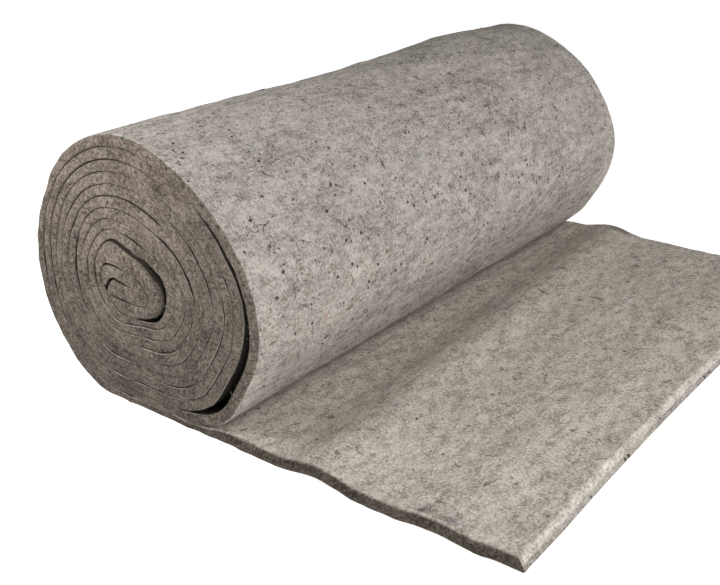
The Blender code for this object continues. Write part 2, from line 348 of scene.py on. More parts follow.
# The three looks of the felt. Cloud and grain sizes and specks are so many to a metre.
FELT_INPUTS = ("Cloud size", "Cloud strength", "Grain size", "Grain strength", "Streak",
               "Specks a metre", "Speck share")
FELT_COLUMNS = [key.lower().replace(" ", "_") for key in FELT_INPUTS]
FeltRow = namedtuple("FeltRow", ["name", *FELT_COLUMNS, "lint", "tones"])
FELT_ROWS = (
    FeltRow("outer face", 20.0, 0.70, 270.0, 2.6, 0.95, 92.0, 0.62, 0.50, OUTER_TONES),
    FeltRow("upper face", 16.0, 0.20, 280.0, 3.1, 0.30, 80.0, 0.04, 0.50, UPPER_TONES),
    FeltRow("cut edges", 30.0, 0.90, 280.0, 3.1, 0.30, 110.0, 0.20, 0.16, CUT_TONES),
)

# How far blotches, specks, coloured tufts and the painted shade between the turns cover the felt, how matt
# it is, and how strong and how deep its relief
BLOTCH_SHARE = 0.80
SPECK_COVER = 0.88
TUFT_SHARE = 0.55
PAINTED_SHADE_SHARE = 0.91
FELT_ROUGHNESS = 0.96
FELT_SPECULAR = 0.12
RELIEF_STRENGTH = 0.75
RELIEF_HEIGHT = 0.0040

# The stray fibres' patches of one colour, so many to a metre, their finish, and the floor's size
# and finish
FIBRE_PATCHES = 31.0
FIBRE_ROUGHNESS = 0.80
FIBRE_SPECULAR = 0.25
FLOOR_SIZE = 40.0
FLOOR_ROUGHNESS = 0.90
FLOOR_SPECULAR = 0.10


def smooth_step(value):
    """Rises softly from 0 to 1 as the value does."""
    held = np.clip(value, 0.0, 1.0)
    return held * held * (3.0 - 2.0 * held)


def by_direction(column, direction):
    """A column of the winding's table at any directions, in metres, as a smooth curve."""
    rows = TURN_ROWS[:-1]
    places = np.array([row.direction for row in rows], float)
    values = np.array([getattr(row, column) for row in rows], float)
    places = np.concatenate([places - 360.0, places, places + 360.0])
    values = np.tile(values, 3)
    after = np.searchsorted(places, direction, side="right")
    before_place, place = places[after - 2], places[after - 1]
    next_place, after_place = places[after], places[after + 1]
    span = next_place - place
    part = (direction - place) / span
    start_slope = (values[after] - values[after - 2]) / (next_place - before_place) * span
    end_slope = (values[after + 1] - values[after - 1]) / (after_place - place) * span
    curve = values[after - 1] + (values[after] - values[after - 1]) * smooth_step(part)
    curve += start_slope * part * (1.0 - part) ** 2 - end_slope * part ** 2 * (1.0 - part)
    return curve / 1000.0


def slack_at(direction):
    """How far the outermost turn stands off in this direction."""
    away = (direction - SLACK_DIRECTION + 180.0) % 360.0 - 180.0
    reach = np.where(away > 0.0, SLACK_AFTER, SLACK_BEFORE)
    share = np.minimum(np.abs(away) / reach, 1.0)
    return SLACK * np.cos(0.5 * math.pi * share) ** 2


def pinch_at(turns, lap):
    """How far a face of the mat moves outwards where a turn is pressed or stands off."""
    moved = np.zeros(len(turns))
    for row in PINCH_ROWS:
        share = np.minimum(np.abs(turns - row.turns) / row.reach, 1.0)
        moved += (row.inner if lap else row.outer) / 1000.0 * np.cos(0.5 * math.pi * share) ** 2
    return moved


def set_back_at(turns):
    """How far the turns sit back into the roll from its near end."""
    back = np.zeros(len(turns))
    for row in PINCH_ROWS:
        share = np.minimum(np.abs(turns - row.turns) / row.reach, 1.0)
        back += row.back / 1000.0 * np.cos(0.5 * math.pi * share) ** 2
    return back


def wound_points(turns, lap):
    """One face of the mat at these turns in from the floor. Lap 0 is the outer face, 1 the inner."""
    direction = (270.0 - 360.0 * turns) % 360.0
    radius = by_direction("radius", direction) - by_direction("step", direction) * (turns + lap)
    radius += LAYER_GAP * lap + pinch_at(turns, lap)
    radius -= np.where(turns >= 1.0, slack_at(direction), 0.0)
    x = EYE_X + radius * np.cos(np.radians(direction))
    z = EYE_Z + radius * np.sin(np.radians(direction))
    lowest = np.where(turns + lap < 0.75, 0.0, PRESSED_THICKNESS + LAYER_GAP * (1 - lap))
    z = np.where(turns + lap < 1.25, np.maximum(z, lowest), z)
    return np.stack([x, z], axis=-1)


def through_rows(rows, steps):
    """A smooth curve through all rows of a table, with so many steps from row to row."""
    padded = np.concatenate([2.0 * rows[:1] - rows[1:2], rows, 2.0 * rows[-1:] - rows[-2:-1]])
    curve = []
    for k in range(len(rows) - 1):
        before, start, end, after = padded[k:k + 4]
        for step in range(steps):
            part = step / steps
            swing = (end - before) * part + (2 * before - 5 * start + 4 * end - after) * part ** 2
            swing += (3 * start - before - 3 * end + after) * part ** 3
            curve.append(start + 0.5 * swing)
    curve.append(rows[-1])
    return np.array(curve)


def wave_at(x, y):
    """Lift of the loose end off the floor."""
    across = y / MAT_WIDTH + 0.5
    lift = 0.0
    for row in WAVE_ROWS:
        middle = row.near_x + (row.far_x - row.near_x) * across
        height = row.near_height + (row.far_height - row.near_height) * across
        share = np.minimum(np.abs(x - middle) / row.half_width, 1.0)
        lift = lift + height * np.cos(0.5 * math.pi * share) ** 2
    to_corner = np.hypot(LOOSE_REACH - x, y + 0.5 * MAT_WIDTH)
    return lift + CORNER_LIFT * smooth_step(1.0 - to_corner / CORNER_REACH)


def loose_faces(x, y):
    """Both faces of the loose end at these places along it."""
    lowest = wound_points(1.0 - np.arange(OUTER_STEPS // 4) / OUTER_STEPS, 0)
    roof = np.interp(x, lowest[:, 0], lowest[:, 1], right=1.0) - LAYER_GAP
    thinning = smooth_step((THIN_FROM - x) / THIN_OVER)
    thickness = MAT_THICKNESS + (PRESSED_THICKNESS - MAT_THICKNESS) * thinning
    lift = wave_at(x, y)
    bow = CUT_BOW * (2.0 * y / MAT_WIDTH) ** 2 * smooth_step((x - BOW_FROM) / BOW_OVER)
    along = x + bow * (1.0 if y < 0.0 else FAR_BOW_SHARE)
    slant = CUT_SLANT * smooth_step(1.0 - (LOOSE_REACH - x) / SLANT_REACH)
    top = np.minimum(lift + thickness, roof)
    return np.stack([along, lift], axis=-1), np.stack([along - slant, top], axis=-1)


def slimmer(points, y):
    """The wound part drawn in at the roll's waist and at its far end."""
    along = y / MAT_WIDTH
    waist = WAIST * math.cos(math.pi * along) ** 2
    tuck = FAR_TUCK * smooth_step((along - TUCK_FROM) / TUCK_OVER)
    return points * np.array([1.0 - 0.5 * waist - tuck, 1.0 - waist - tuck])


def loose_places():
    """Places along the loose end, closer together where the cut edge is rounded."""
    rounded = LOOSE_REACH - CUT_ROUNDING * np.array([0.0, 0.3, 1.0])
    evenly = np.linspace(LOOSE_REACH - START_BAND, EYE_X, LOOSE_STEPS + 1)[:-1]
    return np.concatenate([rounded, evenly])


def winding_turns():
    """Turns in from the floor at each step of the winding."""
    outer = np.arange(OUTER_STEPS) / OUTER_STEPS
    inner = 1.0 + np.arange(round((TURNS - 1.0) * INNER_STEPS) + 1) / INNER_STEPS
    return np.concatenate([outer, inner])


def core_curve():
    """The folded core's table as smooth curves, in metres."""
    return through_rows(np.array(CORE_ROWS) / 1000.0, CORE_STEPS_A_ROW)


def mat_faces(y):
    """The mat's outer and inner face at one place across its width, from the cut edge inwards."""
    loose_outer, loose_inner = loose_faces(loose_places(), y)
    turns = winding_turns()
    core = core_curve()
    wound_outer = np.concatenate([wound_points(turns, 0), core[:, 0:2]])
    wound_inner = np.concatenate([wound_points(turns, 1), core[:, 2:4]])
    outer = np.concatenate([loose_outer, slimmer(wound_outer, y)])
    inner = np.concatenate([loose_inner, slimmer(wound_inner, y)])
    return outer, inner


def soft_noise(u, v, seed, waves=14):
    """Soft even noise of about -1 to 1 over two coordinates, both in wavelengths."""
    chance = random.Random(seed)
    total = np.zeros(np.broadcast(u, v).shape)
    for _ in range(waves):
        heading = chance.uniform(0.0, math.tau)
        pace = math.tau * chance.uniform(0.55, 1.45)
        phase = chance.uniform(0.0, math.tau)
        total = total + np.sin(pace * (u * math.cos(heading) + v * math.sin(heading)) + phase)
    return total / math.sqrt(0.5 * waves) / 1.8


def runs_along(outer, inner):
    """Distance along the mat from its cut edge, at each step."""
    middle = 0.5 * (outer + inner)
    return np.concatenate([[0.0], np.cumsum(np.linalg.norm(np.diff(middle, axis=0), axis=1))])


def share_along(turns, stretch):
    """How far these turns are within a stretch that rises and falls softly."""
    rise = smooth_step((turns - stretch.start) / stretch.rise)
    return rise * smooth_step((stretch.end - turns) / stretch.fall)


def loose_share():
    """How far each place along the loose end is free of the roll."""
    return smooth_step((loose_places() - LOOSE_FROM) / LOOSE_OVER)


def edge_rounding():
    """How far the corners of both faces are rounded into the cut edges, at each step."""
    turns = winding_turns()
    direction = (270.0 - 360.0 * turns) % 360.0
    away = (direction - PRESSED_DIRECTION + 180.0) % 360.0 - 180.0
    inner = LAYER_ROUNDING * (1.0 - PRESSED_SHARE * np.exp(-(away / PRESSED_SPREAD) ** 2))
    outer = inner + (BARREL_ROUNDING - inner) * share_along(turns, ROUNDED_RIM)
    under = np.full(len(loose_places()), CUT_ROUNDING)
    over = CUT_ROUNDING + (LOOSE_ROUNDING - CUT_ROUNDING) * loose_share()
    core = core_curve()
    return np.concatenate([under, outer, core[:, 4]]), np.concatenate([over, inner, core[:, 5]])


LoopSpot = namedtuple("LoopSpot", "y face inset down side")


def loop_spots(columns):
    """Places of a loop round the mat's section, from the outer face over the far edge and back.

    Inset and down are shares of a corner's rounding, and side is the cut edge that it is on.
    """
    sweep = np.linspace(0.0, 0.5 * math.pi, CORNER_POINTS)
    corner = list(zip(1.0 - np.sin(sweep), 1.0 - np.cos(sweep)))
    near, far = columns[0], columns[-1]
    loop = [LoopSpot(y, "outer", 0.0, 0.0, 0) for y in columns[1:-1]]
    loop += [LoopSpot(far, "outer", *shares, 1) for shares in corner]
    loop += [LoopSpot(far, "middle", 0.0, 1.0, 1)]
    loop += [LoopSpot(far, "inner", *shares, 1) for shares in corner[::-1]]
    loop += [LoopSpot(y, "inner", 0.0, 0.0, 0) for y in columns[-2:0:-1]]
    loop += [LoopSpot(near, "inner", *shares, -1) for shares in corner]
    loop += [LoopSpot(near, "middle", 0.0, 1.0, -1)]
    loop += [LoopSpot(near, "outer", *shares, -1) for shares in corner[::-1]]
    return loop


def edge_wander(run, side):
    """How far the cut edge on one side strays in and out along the mat."""
    steps = len(run)
    slow = soft_noise(run / SLOW_WANDER, np.full(steps, 3.0 * side), 11 + side)
    quick = soft_noise(run / QUICK_WANDER, np.full(steps, 5.0 * side), 21 + side)
    return EDGE_WANDER * (slow + 0.5 * quick)


def painted_lit_rims(turn_of):
    """How pale the rims of the turns show by their direction, a painted highlight. The core's stay dark."""
    direction = 270.0 - 360.0 * turn_of
    toward = 0.5 + 0.5 * np.cos(np.radians(direction - PAINTED_LIT_RIM_DIRECTION))
    return smooth_step(PALE_SHARPNESS * toward - PALE_START) * (turn_of < TURNS)


def spots_round_mat(loop, faces_at, run, turn_of):
    """Every point of the sheet, how far it is cut, on the upper face, and its painted shade where hidden
    inside.
    """
    steps = len(run)
    outer_round, inner_round = edge_rounding()
    bevel = np.ones(steps)
    bevel[:len(loose_places())] += (LOOSE_BEVEL - 1.0) * loose_share()
    middle_x = 0.5 * (faces_at[loop[0].y][0] + faces_at[loop[0].y][1])[:, 0]
    lobe = smooth_step((middle_x - LOBE_START) / LOBE_RISE) * (turn_of > TURNS)
    push = set_back_at(turn_of) * (turn_of > 0.0) - CORE_PUSH * lobe
    wander = {side: edge_wander(run, side) for side in (-1, 1)}
    # Painted light: the rims show paler on the lower right, with less cut brown and narrower painted shade
    pale = painted_lit_rims(turn_of)
    narrow = np.where(turn_of > TURNS, 1.0, DARK_NARROWING + PALE_NARROWING * pale)
    hidden_cut = HIDDEN_CUT * (1.0 - PALE_CUT_LOSS * pale)
    hidden = {"outer": turn_of >= 1.0, "middle": turn_of > TURNS, "inner": turn_of > HIDDEN_FROM}
    near_cut_painted_shade = NEAR_CUT_PAINTED_SHADE * (turn_of < 0.0)
    height = {"outer": 0.0, "middle": 0.5, "inner": 1.0}

    spots = np.zeros((steps, len(loop), 3))
    cut, upper, inside = (np.zeros((steps, len(loop))) for _ in range(3))
    for k, spot in enumerate(loop):
        outer, inner = faces_at[spot.y]
        thickness = np.linalg.norm(inner - outer, axis=1)
        through = (inner - outer) / thickness[:, None]
        rounding = outer_round if spot.face == "outer" else inner_round
        rounding = np.minimum(rounding, ROUNDING_LIMIT * thickness)
        back = rounding * (bevel if spot.face == "inner" else 1.0)
        if spot.face == "outer":
            place = outer + through * (rounding * spot.down)[:, None]
        elif spot.face == "inner":
            place = inner - through * (rounding * spot.down)[:, None]
        else:
            place = 0.5 * (outer + inner)
        spots[:, k, 0] = place[:, 0]
        spots[:, k, 1] = spot.y + push - spot.side * spot.inset * back
        spots[:, k, 2] = place[:, 1]
        if spot.side:
            spots[:, k, 1] += wander[spot.side]
            cut[:, k] = np.maximum(spot.down, hidden_cut * hidden[spot.face])
        if spot.face == "middle":
            spots[:, k, 1] += spot.side * EDGE_CROWN
        upper[:, k] = height[spot.face]
        # Painted shade on the faces hidden between the turns, fading round their corners into the cut edges;
        # wider on the core's soft corners
        inside[:, k] = hidden[spot.face] * (spot.inset ** narrow if spot.side else 1.0)
        # Painted shade on the loose end's near cut, which lies in shade
        if spot.side < 0:
            inside[:, k] = np.maximum(inside[:, k], near_cut_painted_shade * smooth_step(2.0 * spot.down))
    return spots, cut, upper, inside


def swell_faces(spots, loop, faces_at, columns, run, turn_of):
    """Soft swells and dents of the barrel and of the top of the loose end."""
    across = np.array([spot.y for spot in loop])[None, :]
    edge = np.array([spot.down if spot.side else 0.0 for spot in loop])[None, :]
    is_outer = np.array([spot.face == "outer" for spot in loop])[None, :]
    is_inner = np.array([spot.face == "inner" for spot in loop])[None, :]
    to_rim = 0.5 * MAT_WIDTH - np.abs(across)
    fade = np.clip(to_rim / SWELL_FADE, RIM_SWELL, 1.0) * (1.0 - edge)
    swells = soft_noise(run[:, None] / SWELL_SIZE[0], across / SWELL_SIZE[1], 5)
    dents = soft_noise(run[:, None] / DENT_SIZE[0], across / DENT_SIZE[1], 6)
    swell = SWELL_HEIGHT * fade * (swells + 0.5 * dents)
    outer, inner = faces_at[columns[COLUMNS_ACROSS // 2]]
    outward = (outer - inner) / np.linalg.norm(outer - inner, axis=1)[:, None]
    rise = swell * is_outer * share_along(turn_of, SWELLING_BARREL)[:, None]
    spots[:, :, 0] += rise * outward[:, None, 0]
    spots[:, :, 2] += rise * outward[:, None, 1]
    on_loose = (turn_of < 0.0) * smooth_step((outer[:, 0] - SWELL_FROM) / SWELL_OVER)
    spots[:, :, 2] += TOP_SWELL * swell * is_inner * on_loose[:, None]


def cap_faces(row, size, turned):
    """The faces that close the sheet at its first or last step."""
    middle_far = COLUMNS_ACROSS - 2 + CORNER_POINTS
    middle_near = size - CORNER_POINTS - 1
    over = [k % size for k in range(-CORNER_POINTS, middle_far)]
    under = [(2 * middle_far - k) % size for k in over]
    faces = [(over[k], over[k + 1], under[k + 1], under[k]) for k in range(len(over) - 1)]
    faces += [(over[-1], middle_far, under[-1]), (middle_near, over[0], under[0])]
    faces = [tuple(row * size + k for k in face) for face in faces]
    return faces if turned else [face[::-1] for face in faces]


def build_mat():
    """The whole mat as one closed sheet of felt."""
    between = np.linspace(EDGE_BAND - 0.5 * MAT_WIDTH, 0.5 * MAT_WIDTH - EDGE_BAND, COLUMNS_ACROSS - 2)
    columns = [-0.5 * MAT_WIDTH, *between.tolist(), 0.5 * MAT_WIDTH]
    faces_at = {y: mat_faces(y) for y in columns}
    run = runs_along(*faces_at[columns[0]])
    turn_of = np.full(len(run), TURNS + 0.01)
    count_loose, turns = len(loose_places()), winding_turns()
    turn_of[:count_loose] = -1.0
    turn_of[count_loose:count_loose + len(turns)] = turns
    loop = loop_spots(columns)
    spots, cut, upper, inside = spots_round_mat(loop, faces_at, run, turn_of)
    swell_faces(spots, loop, faces_at, columns, run, turn_of)

    # The cut edge at the very start of the mat is rounded as its sides are
    toward = np.array([{"outer": 1.0, "middle": 0.0, "inner": -1.0}[spot.face] for spot in loop])
    flat = np.array([0.0 if spot.face == "middle" else 1.0 - spot.down * abs(spot.side) for spot in loop])
    for step, share in ((0, 1.0), (1, 0.30)):
        spots[step, :, 2] += toward * flat * share * CUT_ROUNDING
    spots[:, :, 0] += SHIFT_X
    spots[:, :, 1] += SHIFT_Y
    spots[:, :, 2] = np.maximum(spots[:, :, 2], 0.0)

    steps, size = len(run), len(loop)
    index = np.arange(steps * size).reshape(steps, size)
    after = np.roll(index, -1, axis=1)
    quads = np.stack([index[:-1], after[:-1], after[1:], index[1:]], axis=-1).reshape(-1, 4)
    # The caps take their colour from their rims, mostly the faces' lighter tones rather than the cut's
    # brown: at the loose end's start cut this is painted light, as that cut is strongly lit
    caps = cap_faces(0, size, False) + cap_faces(steps - 1, size, True)
    mesh = bpy.data.meshes.new("felt_mat")
    mesh.from_pydata(spots.reshape(-1, 3).tolist(), [], quads.tolist() + caps)
    mesh.update()
    # The inside attribute carries the painted shade mask
    for name, values in (("cut", cut), ("upper", upper), ("inside", inside)):
        layer = mesh.attributes.new(name, "FLOAT", "POINT")
        layer.data.foreach_set("value", values.reshape(-1).astype(np.float32))
    mat = bpy.data.objects.new("felt_mat", mesh)
    bpy.context.scene.collection.objects.link(mat)
    bpy.context.view_layer.objects.active = mat
    mat.select_set(True)
    bpy.ops.object.mode_set(mode="EDIT")
    bpy.ops.mesh.select_all(action="SELECT")
    bpy.ops.mesh.normals_make_consistent(inside=False)
    bpy.ops.object.mode_set(mode="OBJECT")
    bpy.ops.object.shade_smooth()
    mat.select_set(False)
    return mat, loop, turn_of


def model_fibre(row, finish):
    """A stray fibre: a small square end drawn out step by step, turned a little at each."""
    bpy.ops.mesh.primitive_circle_add(
        vertices=4,
        radius=0.5 * FIBRE_THICKNESS * row.thick_share,
        fill_type="NGON",
        rotation=(0.0, 0.5 * math.pi, 0.0),
    )
    fibre = bpy.context.active_object
    fibre.name = row.name + "_fibre"
    bpy.ops.object.transform_apply(location=False, rotation=True, scale=False)
    bpy.ops.object.mode_set(mode="EDIT")
    bpy.ops.mesh.select_all(action="SELECT")
    heading = 0.0
    place = Vector((0.0, 0.0, 0.0))
    for turn in row.turns:
        heading += math.radians(turn)
        way = Vector((math.cos(heading), math.sin(heading), 0.0)) * FIBRE_STEP * row.step_share
        bpy.ops.mesh.extrude_region_move(TRANSFORM_OT_translate={"value": way})
        place += way
        bpy.ops.transform.rotate(value=-math.radians(turn), orient_axis="Z", center_override=place)
    bpy.ops.mesh.select_all(action="SELECT")
    bpy.ops.mesh.normals_make_consistent(inside=False)
    bpy.ops.object.mode_set(mode="OBJECT")
    fibre.data.materials.append(finish)
    fibre.select_set(False)
    return fibre


def faces_where(mat, loop, turn_of, wanted):
    """The mat's faces clear of the floor whose step and place round its section are wanted."""
    size = len(loop)
    faces = range((len(turn_of) - 1) * size)
    faces = [k for k in faces if wanted(turn_of[k // size], loop[k % size])]
    return [k for k in faces if mat.data.polygons[k].center.z > FIBRE_CLEARANCE]


def chance_place(mat, face, chance):
    """A chance point on one face of the mat, and that face's outward direction."""
    polygon = mat.data.polygons[face]
    corners = [mat.data.vertices[k].co for k in polygon.vertices]
    along, across = chance.random(), chance.random()
    one = corners[0].lerp(corners[1], across)
    other = corners[3].lerp(corners[2], across)
    return one.lerp(other, along), polygon.normal.copy()


def scatter_fibres(row, finish, mat, faces):
    """Fibres scattered over some of the mat's faces, lying on them or standing out of them."""
    chance = random.Random(row.seed)
    shapes = row.shapes.split()
    models = [model_fibre(shape, finish) for shape in FIBRE_ROWS if shape.name in shapes]
    weights = [mat.data.polygons[face].area for face in faces]
    copies = []
    for face in chance.choices(faces, weights, k=row.count):
        place, outward = chance_place(mat, face, chance)
        any_way = Vector([chance.uniform(-1.0, 1.0) for _ in range(3)])
        side = outward.cross(any_way).normalized()
        ahead = side.cross(outward)
        if row.standing:
            ahead = (ahead + outward * chance.uniform(*FIBRE_LEAN)).normalized()
            outward = ahead.cross(side)
        size = chance.uniform(*FIBRE_SIZES)
        turned = Matrix((ahead, side, outward)).transposed().to_4x4()
        model = chance.choice(models)
        copy = model.copy()
        copy.data = model.data.copy()
        copy.matrix_world = Matrix.Translation(place) @ turned @ Matrix.Scale(size, 4)
        bpy.context.scene.collection.objects.link(copy)
        copy.select_set(True)
        copies.append(copy)
    bpy.context.view_layer.objects.active = copies[0]
    bpy.ops.object.join()
    bpy.ops.object.transform_apply(location=True, rotation=True, scale=True)
    joined = bpy.context.active_object
    joined.name = joined.data.name = row.name
    joined.select_set(False)
    for model in models:
        bpy.data.objects.remove(model, do_unlink=True)
    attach(joined, "root")
    return joined


def build_fibres(mat, loop, turn_of):
    """Dark, light and bright fibres on the felt, and the fuzz of its cut edges."""
    def on_barrel(turn, at):
        return FIBRE_START < turn < FIBRE_END and at.face == "outer" and not at.side

    def on_top(turn, at):
        return turn < 0.0 and at.face == "inner" and not at.side

    barrel = faces_where(mat, loop, turn_of, on_barrel)
    top = faces_where(mat, loop, turn_of, on_top)
    where = {
        "barrel": barrel,
        "top": top,
        "both": barrel + top,
        "cut": faces_where(mat, loop, turn_of, lambda turn, at: turn > HIDDEN_FROM and at.side),
        "rim": faces_where(mat, loop, turn_of, lambda turn, at: turn < 1.0 and at.side),
    }
    lots = fibre_lots_group()
    finishes = {
        "dark": fibre_material("dark fibres", DARK_FIBRES, "LINEAR", lots),
        "light": fibre_material("light fibres", LIGHT_FIBRES, "LINEAR", lots),
        "bright": fibre_material("bright fibres", BRIGHT_FIBRES, "CONSTANT", lots),
    }
    return [scatter_fibres(row, finishes[row.colours], mat, where[row.where]) for row in SCATTER_ROWS]


def add_node(tree, kind, name, **settings):
    """A node with some of its settings and input values."""
    node = tree.nodes.new(kind)
    node.name = node.label = name
    for key, value in settings.items():
        if hasattr(node, key):
            setattr(node, key, value)
        else:
            node.inputs[key.replace("_", " ")].default_value = value
    return node


def join(tree, value, socket):
    """A number set on a socket, or an output linked to it."""
    if isinstance(value, (int, float, tuple)):
        socket.default_value = value
    else:
        tree.links.new(value, socket)


def sums(tree, operation, first, second, name):
    """A Math node of two values, each a socket or a number."""
    node = add_node(tree, "ShaderNodeMath", name, operation=operation)
    join(tree, first, node.inputs[0])
    join(tree, second, node.inputs[1])
    return node.outputs[0]


def about_none(tree, value, strength, name):
    """A noise of 0 to 1 brought round 0, at some strength."""
    centred = sums(tree, "SUBTRACT", value, 0.5, name + " about none")
    return sums(tree, "MULTIPLY", centred, strength, name + " strength")


def spread(tree, value, low, high, name):
    """A value brought from low..high to 0..1, softly."""
    node = add_node(tree, "ShaderNodeMapRange", name, interpolation_type="SMOOTHSTEP")
    join(tree, value, node.inputs["Value"])
    join(tree, low, node.inputs["From Min"])
    join(tree, high, node.inputs["From Max"])
    return node.outputs["Result"]


def blend_colours(tree, share, first, second, name):
    """Two colours mixed by a share."""
    node = add_node(tree, "ShaderNodeMix", name, data_type="RGBA")
    join(tree, share, node.inputs["Factor"])
    join(tree, first, node.inputs[6])
    join(tree, second, node.inputs[7])
    return node.outputs[2]


def blend_values(tree, share, first, second, name):
    """Two numbers mixed by a share."""
    node = add_node(tree, "ShaderNodeMix", name, data_type="FLOAT")
    join(tree, share, node.inputs["Factor"])
    join(tree, first, node.inputs[2])
    join(tree, second, node.inputs[3])
    return node.outputs[0]


def needled_felt_group():
    """Needled fibre seen close: soft clouds, fine grain, drawn-out streaks, specks and height."""
    group = bpy.data.node_groups.new("needled felt", "ShaderNodeTree")
    face = group.interface
    face.new_socket("Place", in_out="INPUT", socket_type="NodeSocketVector")
    for name in FELT_INPUTS:
        face.new_socket(name, in_out="INPUT", socket_type="NodeSocketFloat")
    for name in ("Tone", "Specks", "Blotches", "Lint", "Height"):
        face.new_socket(name, in_out="OUTPUT", socket_type="NodeSocketFloat")
    given = group.nodes.new("NodeGroupInput").outputs
    out = group.nodes.new("NodeGroupOutput").inputs
    links = group.links

    drawn = add_node(group, "ShaderNodeVectorMath", "drawn out along the roll", operation="MULTIPLY")
    drawn.inputs[1].default_value = (1.0, 0.45, 1.0)
    links.new(given["Place"], drawn.inputs[0])
    clouds = add_node(group, "ShaderNodeTexNoise", "clouds", Detail=3.0, Roughness=0.55)
    links.new(drawn.outputs[0], clouds.inputs["Vector"])
    links.new(given["Cloud size"], clouds.inputs["Scale"])
    tufts = add_node(group, "ShaderNodeTexNoise", "tufts", Detail=4.0, Roughness=0.62)
    links.new(drawn.outputs[0], tufts.inputs["Vector"])
    links.new(sums(group, "MULTIPLY", given["Cloud size"], 4.6, "tuft size"), tufts.inputs["Scale"])
    grain = add_node(group, "ShaderNodeTexNoise", "grain", Detail=5.0, Roughness=0.78)
    links.new(given["Place"], grain.inputs["Vector"])
    links.new(given["Grain size"], grain.inputs["Scale"])
    cloud_part = about_none(group, clouds.outputs[0], given["Cloud strength"], "clouds")
    tuft_part = about_none(group, tufts.outputs[0], 1.25, "tufts")
    grain_part = about_none(group, grain.outputs[0], given["Grain strength"], "grain")
    tone = sums(group, "ADD", cloud_part, tuft_part, "clouds and tufts")
    tone = sums(group, "ADD", tone, grain_part, "clouds, tufts and grain")
    links.new(sums(group, "ADD", tone, 0.5, "tone"), out["Tone"])

    # Short dark fibres lying in the face: thin ridges of a drawn-out, bent noise
    bend = add_node(group, "ShaderNodeTexNoise", "bending", Scale=30.0, Detail=2.0)
    links.new(given["Place"], bend.inputs["Vector"])
    bent = add_node(group, "ShaderNodeVectorMath", "bent place", operation="MULTIPLY_ADD")
    bent.inputs[1].default_value = (0.03, 0.03, 0.03)
    links.new(bend.outputs["Color"], bent.inputs[0])
    links.new(given["Place"], bent.inputs[2])
    thin = add_node(group, "ShaderNodeVectorMath", "drawn out far", operation="MULTIPLY")
    thin.inputs[1].default_value = (1.0, 0.20, 1.0)
    links.new(bent.outputs[0], thin.inputs[0])
    streaks = add_node(group, "ShaderNodeTexNoise", "streaks", Scale=330.0, Detail=2.0, Roughness=0.6)
    links.new(thin.outputs[0], streaks.inputs["Vector"])
    where = add_node(group, "ShaderNodeTexNoise", "where streaks lie", Scale=34.0, Detail=2.0)
    links.new(given["Place"], where.inputs["Vector"])
    lines = spread(group, streaks.outputs[0], 0.60, 0.72, "thin lines")
    places = spread(group, where.outputs[0], 0.48, 0.64, "in places")
    lines = sums(group, "MULTIPLY", lines, places, "dark lines")
    lines = sums(group, "MULTIPLY", lines, given["Streak"], "streak strength")

    # Specks: one in each cell, kept in some of them, each of its own size
    cells = add_node(group, "ShaderNodeTexVoronoi", "speck cells", Randomness=1.0)
    links.new(given["Place"], cells.inputs["Vector"])
    links.new(given["Specks a metre"], cells.inputs["Scale"])
    lots = add_node(group, "ShaderNodeSeparateColor", "lots")
    links.new(cells.outputs["Color"], lots.inputs[0])
    size = sums(group, "POWER", lots.outputs[1], 2.0, "mostly small")
    size = sums(group, "MULTIPLY", size, 0.21, "size range")
    size = sums(group, "ADD", size, 0.105, "speck size")
    ragged = about_none(group, grain.outputs[0], 0.30, "ragged edge")
    reach = sums(group, "ADD", cells.outputs["Distance"], ragged, "ragged distance")
    reach = sums(group, "DIVIDE", reach, size, "share of its size")
    round_speck = sums(group, "SUBTRACT", 1.0, spread(group, reach, 0.55, 1.15, "off the speck"), "speck")
    crowd = sums(group, "MULTIPLY", spread(group, where.outputs[0], 0.40, 0.62, "crowded"), 1.5, "crowding")
    crowd = sums(group, "ADD", crowd, 0.25, "crowding of specks")
    kept_share = sums(group, "MULTIPLY", given["Speck share"], crowd, "share kept here")
    kept = sums(group, "LESS_THAN", lots.outputs[0], kept_share, "kept")
    specks = sums(group, "MULTIPLY", round_speck, kept, "kept specks")
    links.new(sums(group, "MAXIMUM", specks, lines, "specks and lines"), out["Specks"])

    # Brown blotches, ragged at their edges
    blots = add_node(group, "ShaderNodeTexNoise", "blots", Scale=62.0, Detail=4.0, Roughness=0.7)
    links.new(bent.outputs[0], blots.inputs["Vector"])
    links.new(spread(group, blots.outputs[0], 0.585, 0.69, "blotches"), out["Blotches"])

    # Light lint: the bright crests of the finest grain
    lint = add_node(group, "ShaderNodeTexNoise", "lint", Scale=420.0, Detail=2.0, Roughness=0.75)
    links.new(drawn.outputs[0], lint.inputs["Vector"])
    links.new(spread(group, lint.outputs[0], 0.58, 0.76, "light lint"), out["Lint"])

    grain_height = sums(group, "MULTIPLY", grain.outputs[0], 0.38, "grain height")
    tuft_height = sums(group, "MULTIPLY", tufts.outputs[0], 0.90, "tuft height")
    links.new(sums(group, "ADD", grain_height, tuft_height, "height of both"), out["Height"])
    return group


def use_felt(tree, group, place, row):
    """The needled felt group in a material, with this row's values for the group's inputs."""
    node = add_node(tree, "ShaderNodeGroup", row.name, node_tree=group)
    tree.links.new(place, node.inputs["Place"])
    for key, column in zip(FELT_INPUTS, FELT_COLUMNS):
        node.inputs[key].default_value = getattr(row, column)
    return node


def felt_colour(tree, node, row):
    """The colour of one felt: its tones, then blotches, lint and specks over them."""
    tone = colour_ramp(tree, node.outputs["Tone"], row.tones, row.name + " tones")
    share = sums(tree, "MULTIPLY", node.outputs["Blotches"], BLOTCH_SHARE, row.name + " blotch share")
    colour = blend_colours(tree, share, tone, BLOTCH_COLOUR, row.name + " with blotches")
    share = sums(tree, "MULTIPLY", node.outputs["Lint"], row.lint, row.name + " lint share")
    colour = blend_colours(tree, share, colour, LINT_COLOUR, row.name + " with lint")
    share = sums(tree, "MULTIPLY", node.outputs["Specks"], SPECK_COVER, row.name + " speck share")
    return blend_colours(tree, share, colour, SPECK_COLOUR, row.name + " with specks")


